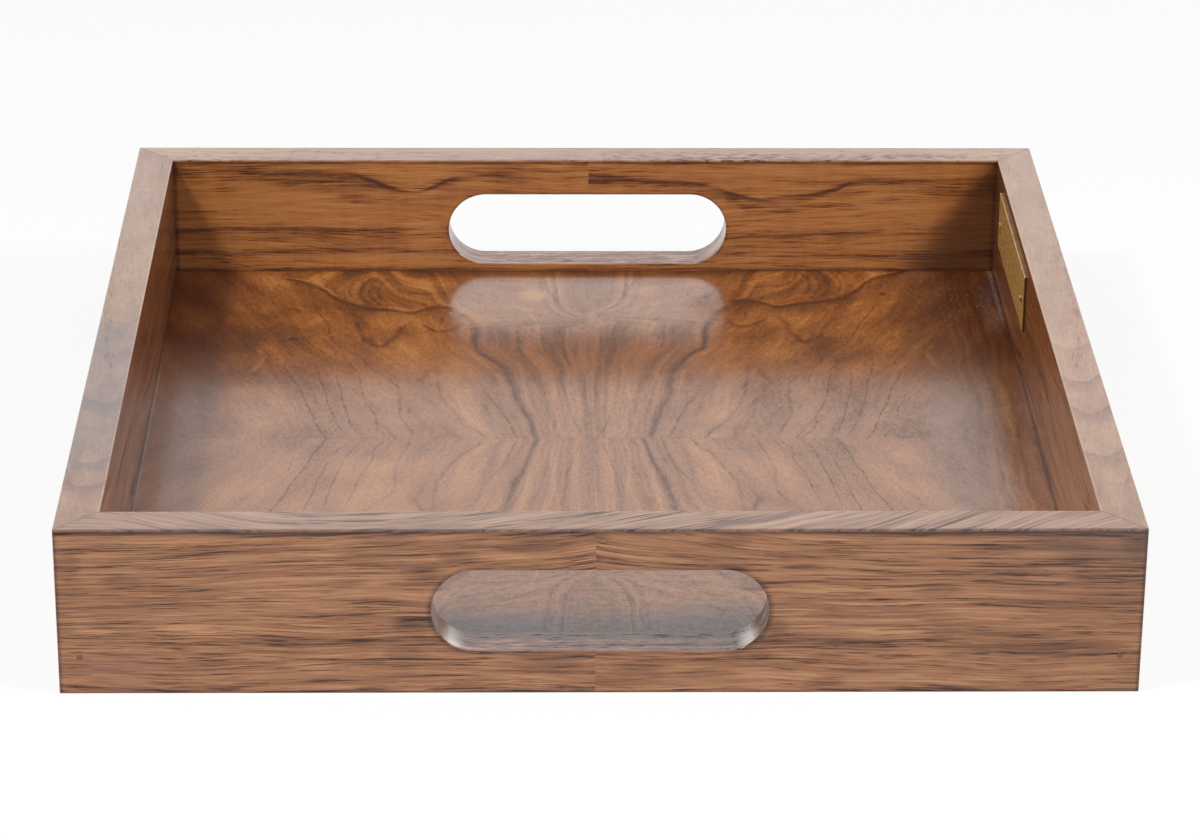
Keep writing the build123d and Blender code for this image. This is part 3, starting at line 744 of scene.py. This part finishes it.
def floorFigure(paint, x, y):
    # its tone: grown lines first, then the drawn strokes, veins and patches
    look = floorLook
    fromCross = y - size["crossSeam"]
    right = paint.maths("GREATER_THAN", x, 0.0)
    back = paint.maths("GREATER_THAN", fromCross, 0.0)
    quarter = back * 0.35 + right * 0.2  # another slice of the log in each
    # no two quarters are quite alike
    out = abs(x) * (1 - right * back * 0.045 + right * (1 - back) * 0.09)
    along = abs(fromCross) * (1 - right * back * 0.05)
    out = out + paint.noise(x * 0.06, y * 0.06, 1.0) * 0.7
    out = out - right * back * paint.smooth(along, 95.0, 115.0) * 3
    along = along + paint.noise(x * 0.06, y * 0.06, 5.0) * 0.9

    # the flow of the grain: straight in the middle, leaning out along the veins, arched beyond the wave
    flame = paint.curve(along, flameEdge)
    arch = paint.curve(along, archEdge)
    nearVein = paint.curve(along, nearVeinEdge)
    farVein = paint.curve(along, farVeinEdge)
    wave = paint.curve(out, waveEdge)
    straight = paint.maths("MINIMUM", (out - arch) / (flame - arch), 1.0)
    leaning = paint.node("ShaderNodeClamp", None, {"Value": (out - flame) / (nearVein - flame)})
    outside = paint.maths("MAXIMUM", (out - nearVein) / (farVein - nearVein), 0.0)
    flow = straight * 24 + leaning * 20 + outside * 16
    tilted = along * 0.6 - out * 0.36
    arched = (out + ((along - 144) / 13) ** 2 * 4) * 0.6
    arched = tilted + (arched - tilted) * paint.smooth(out, 72.0, 88.0)
    beyond = paint.smooth(along - wave, -2.0, 4.0) * paint.smooth(out, 46.0, 56.0)
    flow = flow + (arched - flow) * beyond
    # beside the arch the lines sweep outward and flatten
    swept = paint.smooth(along, 106.0, 122.0) * paint.smooth(out - arch, 0.0, 6.0)
    swept = swept * paint.smooth(out, 64.0, 50.0)
    sweep = along * 0.6 + paint.maths("EXPONENT", out / -22) * 14
    sweep = sweep + paint.noise(out * 0.05, along * 0.05, 14.0) * 1.5
    flow = flow + (sweep - flow) * swept

    # the grown figure: lines along the flow, flecks, and soft plates that lean across it
    lean = out - along * 0.36
    growth = paint.smooth(paint.noise(flow * 0.26, along * 0.008, quarter, 3.0, 0.5), -0.4, 0.4) - 0.5
    hair = paint.noise(flow * 1.3, along * 0.03, quarter + 4.0, 3.0, 0.65)
    fleck = paint.noise(out * 0.9, along * 0.45, quarter + 6.0, 2.0, 0.65)
    plates = paint.node("ShaderNodeTexVoronoi", {"feature": "SMOOTH_F1"}, {
        "Vector": paint.vector(lean * 0.055, along * 0.03, quarter), "Scale": 1.0, "Smoothness": 0.2})
    plates = paint.smooth(plates, 0.75, 0.15) - 0.5
    ripple = paint.noise(lean * 0.16, along * 0.05, quarter + 2.0, 3.0, 0.6)
    dash = paint.noise(lean * 1.5, along * 0.14, quarter + 15.0, 3.0, 0.6)
    pores = paint.smooth(dash + plates * 0.3 - ripple * 0.2, 0.40, 0.70)
    insideArch = paint.smooth(arch - out, 0.0, 4.0) * paint.smooth(along, 113.0, 122.0)
    farBand = paint.smooth(fromCross, 55.0, 95.0)
    lines = 1 - paint.smooth(out, 36.0, 60.0) * 0.85 + beyond * 0.9
    lines = lines - swept * (back * 0.3 + 0.35) - insideArch * 0.7
    lines = lines + farBand * (1 - beyond) * paint.smooth(out, 50.0, 60.0) * 0.25
    tone = growth * lines * look["growth"] + hair * (lines + 0.3) * look["hair"]
    tone = tone + fleck * (look["fleck"] - farBand * 0.03) - pores * look["pores"]
    soft = plates * look["plates"] + ripple * look["ripple"]
    tone = tone + soft * (paint.smooth(out, 20.0, 60.0) * 0.7 + 0.3)
    # wavy streaks along the right wall, finer grain beside the front wall
    wavy = x + paint.noise(y * 0.04, 1.0, 26.0) * 1.5
    streaks = paint.noise(wavy * 0.45, y * 0.015, 25.0, 3.0) * paint.smooth(x, 136.0, 150.0)
    finer = paint.noise(x * 0.25, y * 0.5, 27.0, 3.0, 0.65) * paint.smooth(fromCross, -85.0, -105.0)
    tone = tone + streaks * look["wallStreaks"] + finer * look["frontGrain"]

    # the drawn figure
    broken = paint.noise(x * 0.15, y * 0.15, 3.0, 3.0) * 0.4 + 0.8
    dotted = paint.smooth(paint.noise(out * 0.9, along * 0.5, 21.0, 2.0), -0.25, 0.25) * 0.95 + 0.3
    drawn = (
        (floorStrokes, along, out, look["strokes"]),
        (crossStrokes, out, along, look["strokes"]),
        (sweptStrokes, out, along, look["strokes"] - back * 0.7),
    )
    for strokes, first, second, share in drawn:
        for points, width, depth in strokes:
            tone = tone - paint.stroke(first, second, points, width) * broken * depth * share
    veins = 0.0
    for points, width, depth in floorVeins:
        veins = paint.stroke(along, out, points, width) * depth + veins
    tone = tone - veins * dotted * broken * look["veins"] - insideArch * 0.06
    ovals = [(place, rise, radius, radius, depth) for place, rise, radius, depth in floorPatches]
    tone = paint.patched(tone, x, fromCross, ovals)
    # dark before the wave
    shade = paint.smooth(wave - along, 14.0, 0.0) * paint.smooth(wave - along, -3.0, 0.0)
    tone = tone - shade * paint.smooth(out, 50.0, 60.0) * paint.smooth(out, 130.0, 110.0) * 0.12
    # stronger in the far part, weaker and darker beside the front wall
    strength = paint.smooth(fromCross, 55.0, 100.0) * (paint.smooth(out, 38.0, 60.0) * 0.4 + 0.15) + 1
    tone = tone * (strength - paint.smooth(fromCross, -85.0, -105.0) * 0.25)
    tone = tone - paint.smooth(fromCross, -80.0, -112.0) * 0.14
    # knots, seams and the dark foot of the walls
    tone = paint.patched(tone, x, fromCross, look["knots"])
    seams = paint.line(fromCross, 1.6) * 0.07 + paint.line(x - size["middleSeam"], 1.0) * 0.06
    gap = size["inside"] - paint.maths("MAXIMUM", abs(x), abs(y))
    foot = paint.smooth(size["inside"] - y, 10.0, 2.0) * paint.smooth(abs(x), 90.0, 50.0) * 0.26
    return tone - seams - foot - paint.smooth(gap, 1.8, 0.4) * 0.2 + look["level"]


def floorShadeAndGloss(paint, x, y, colour):
    # painted shade beside the walls, where they cast shadow, lighter in front of the front slot; the gloss is
    # lower there too
    look = floorLook
    fromCross = y - size["crossSeam"]
    fromRight = size["inside"] - x
    drift = paint.noise(x * 0.03, y * 0.03, 11.0, 3.0) * 5
    left = paint.smooth(x + size["inside"] + drift, 44.0, 17.0)
    right = paint.smooth(fromRight + drift, 56.0, 8.0)
    wallShadows = paint.maths("MAXIMUM", left, right) * paint.smooth(y, -40.0, 120.0)
    front = paint.smooth(y + size["inside"] + drift, 34.0, 15.0)
    front = front * (1 - paint.blob(x, y + 168, 26.0) * 0.5)
    share = paint.maths("MAXIMUM", wallShadows * look["sideShade"], front * look["frontShade"])
    colour = paint.mix(share, colour, look["paintedShade"])
    coat = look["coat"] - left * 0.36
    coat = coat - paint.smooth(abs(x), 75.0, 120.0) * paint.smooth(fromCross, 20.0, 60.0) * 0.25
    coat = coat - paint.smooth(fromRight, 34.0, 10.0) * (paint.smooth(y, -50.0, 20.0) * 0.2 + 0.25)
    # duller beside the back wall and at the ends of the slot's reflection
    coat = coat - paint.smooth(y, 150.0, 159.0) * 0.3
    coat = coat - paint.blob(x - 52, y - 126, 16.0) * 0.3 - paint.blob(x + 47, y - 114, 11.0) * 0.2
    return colour, coat


def floorDustAndGlint(paint, x, y, colour):
    # a painted highlight along the foot of the side walls in the front half, dust along the foot of the right
    # wall at the back and a film in the far right corner, painted shade with a bluish reflection on the left
    look = floorLook
    specks = paint.noise(x * 0.8, y * 0.8, 31.0, 2.0)
    # painted highlight: a thin pale line along the foot of the side walls, mostly the left
    dustAndGlint = paint.between(size["inside"] - abs(x), 0.7, 1.3, 0.3) * paint.smooth(y, 90.0, 30.0)
    dustAndGlint = dustAndGlint * (paint.smooth(specks, -0.6, 0.2) * 0.3 + 0.15) * paint.smooth(x, 300.0, -170.0)
    foot = paint.between(size["inside"] - x, 0.5, 2.2, 0.5) * paint.smooth(y, 98.0, 125.0)
    dustAndGlint = dustAndGlint + foot * (paint.smooth(specks, -0.5, 0.5) * 0.3 + 0.08)
    film = paint.between(x, 157.0, 164.0, 2.5) * paint.between(y, 106.0, 152.0, 12.0)
    film = film * (paint.noise(x * 0.5, y * 0.15, 33.0, 3.0, 0.7) * 0.20 + 0.14)
    corner = paint.smooth(specks, 0.6, 0.9) * paint.smooth(x, 110.0, 150.0) * paint.smooth(y, 80.0, 130.0)
    corner = corner + paint.maths("MAXIMUM", film, 0.0)
    dustAndGlint = paint.maths("MAXIMUM", dustAndGlint, corner * 0.6) + paint.smooth(y, -60.0, -110.0) * 0.04
    colour = paint.mix(dustAndGlint, colour, look["dustAndGlint"])
    bluishShade = paint.smooth(x, -126.0, -142.0) * paint.smooth(y, 70.0, 10.0) * 0.14
    return paint.mix(bluishShade, colour, look["bluishShade"])


def floorVeneer():
    material, paint, (x, y, z) = startMaterial("figuredVeneer")
    tone = floorFigure(paint, x, y)
    colour, coat = floorShadeAndGloss(paint, x, y, paint.ramp(tone, floorLook["colours"]))
    colour = floorDustAndGlint(paint, x, y, colour)
    pits = paint.smooth(tone, 0.62, 0.15)
    # slow waves and a fine tooth in the lacquer
    height = paint.noise(x * 0.035, y * 0.035, 17.0, 2.0) * 3 - paint.noise(x, y, 18.0, 2.0) * 0.5
    finish(paint, colour, pits, {**floorLook["gloss"], "coat": coat}, height)
    return material


# Hidden wood, and the small metal and wax parts

plain = {
    "core": {"colours": [(0, (0.10, 0.06, 0.035)), (1, (0.30, 0.19, 0.11))], "speck": 0.9, "coat": 0.1},
    "backing": {"colours": [(0, (0.10, 0.045, 0.022)), (1, (0.34, 0.19, 0.10))], "speck": 0.3, "coat": 0.4},
    "tongue": {"colours": [(0, (0.42, 0.29, 0.16)), (1, (0.66, 0.50, 0.33))], "speck": 0.5, "coat": 0.1},
    "gloss": {"coatRoughness": 0.3, "coatIor": 1.5, "specular": 0.3, "roughness": 0.55,
              "relief": 0.3, "dullPits": 0.5},
}


def plainWood(kind):
    material, paint, (x, y, z) = startMaterial(kind)
    look = plain[kind]
    tone, pores = grainTone(paint, x + pastEnd, y + z, 3.0, rim["grain"])
    speck = paint.noise(x * look["speck"], y * look["speck"], z * look["speck"], 3.0)
    colour = paint.ramp(tone * 1.5 + speck * 0.12 + 0.5, look["colours"])
    finish(paint, colour, pores, {**plain["gloss"], "coat": look["coat"]})
    return material


brass = {
    "colours": [(0.0, (0.09, 0.045, 0.012)), (0.5, (0.45, 0.24, 0.060)), (1.0, (0.95, 0.66, 0.26))],
    # colour of the painted highlight on the arrises
    "edge": (0.95, 0.75, 0.42),
    "level": 0.58,
    "speck": 0.30,
    "brushed": 0.09,
    "spotsAndShade": 0.3,
    "gloss": {"coat": 0.2, "coatRoughness": 0.2, "coatIor": 1.5, "specular": 0.4, "roughness": 0.42,
              "relief": 0.3, "metal": 0.25, "dullPits": 0.5},
}


def agedBrass(name, node):
    material, paint, (x, y, z) = startMaterial(name)
    speck = paint.noise(y * 0.55, z * 0.7, x * 0.6, 3.0, 0.7)
    brushed = paint.noise(y * 0.15, z * 3.0, 2.0)
    top, near, far, face = high(node, "z"), low(node, "y"), high(node, "y"), low(node, "x")
    # painted highlight along the top arris and at the far end, painted shade on the narrow faces behind it
    edge = paint.smooth(z, top - 0.4, top) * paint.smooth(x, face + 0.45, face + 0.15)
    edge = edge + paint.smooth(y, far - 0.6, far) * 0.5
    spotsAndShade = paint.smooth(paint.noise(y * 0.30, z * 0.40, 5.0, 2.0, 0.6), 0.40, 0.65) * 1.7
    # painted shade on the near end and on the narrow faces behind the front, added to the tarnish spots
    spotsAndShade = spotsAndShade + paint.smooth(y, near + 0.4, near) * 2 + paint.smooth(x, face + 0.2, face + 0.5)
    tone = speck * brass["speck"] + brushed * brass["brushed"] - spotsAndShade * brass["spotsAndShade"] + brass["level"]
    colour = paint.ramp(tone, brass["colours"])
    colour = paint.mix(paint.maths("MINIMUM", edge * 0.6, 1.0), colour, brass["edge"])
    finish(paint, colour, spotsAndShade, brass["gloss"])
    return material


small = {
    "steel": {"colours": [(0, (0.22, 0.22, 0.22)), (1, (0.55, 0.55, 0.56))], "metal": 1.0, "roughness": 0.35},
    "wax": {"colours": [(0, (0.17, 0.05, 0.03)), (1, (0.27, 0.09, 0.05))], "metal": 0.0, "roughness": 0.5},
    "gloss": {"coat": 0.2, "coatRoughness": 0.3, "coatIor": 1.5, "specular": 0.3,
              "relief": 0.2, "dullPits": 0.3},
}


def smallPart(kind):
    material, paint, (x, y, z) = startMaterial(kind)
    look = small[kind]
    speck = paint.noise(x * 1.5, y * 1.5, z * 1.5, 2.0)
    gloss = {**small["gloss"], "roughness": look["roughness"], "metal": look["metal"]}
    finish(paint, paint.ramp(speck * 0.4 + 0.5, look["colours"]), speck * 0.5 + 0.5, gloss)
    return material


# by a part of the node's name
materials = {
    "front_outer_leaf": pairedOuter("frontVeneer", size["frontSeam"], size["frontSlot"]),
    "back_outer_leaf": pairedOuter("backVeneer", size["backSeam"], size["backSlot"]),
    "left_outer_leaf": singleOuter("leftVeneer"),
    "right_outer_leaf": singleOuter("rightVeneer"),
    "front_inner_leaf": pairedInner("frontInsideVeneer", size["frontSeam"], size["frontSlot"]),
    "back_inner_leaf": pairedInner("backInsideVeneer", size["backSeam"], size["backSlot"]),
    "left_inner_leaf": singleInner("leftInsideVeneer", inner["left"]),
    "right_inner_leaf": singleInner("rightInsideVeneer", inner["right"]),
    "front_rim_leaf": frontRim(),
    "back_rim_leaf": backRim(),
    "left_rim_leaf": sideRim("leftRimVeneer", rim["left"]),
    "right_rim_leaf": sideRim("rightRimVeneer", rim["right"]),
    "front_slot_lining": slotLining("frontLining", 0.55, 1.0, lining["gloss"]),
    "back_slot_lining": slotLining("backLining", 0.72, 0.1, lining["backGloss"]),
    "floor_leaf": floorVeneer(),
    "floor_backing": plainWood("backing"),
    "_core": plainWood("core"),
    "_tongue": plainWood("tongue"),
    "name_plate": agedBrass("agedBrass", "name_plate"),
    "plate_pins": agedBrass("pinBrass", "plate_pins"),
    "corner_brads": smallPart("steel"),
    "brad_fillings": smallPart("wax"),
}
for name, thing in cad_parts.items():
    part = next(key for key in materials if key in name)
    for slot in thing.material_slots:
        slot.material = materials[part]
print("materials made")

bpy.context.scene.view_settings.view_transform = "Standard"
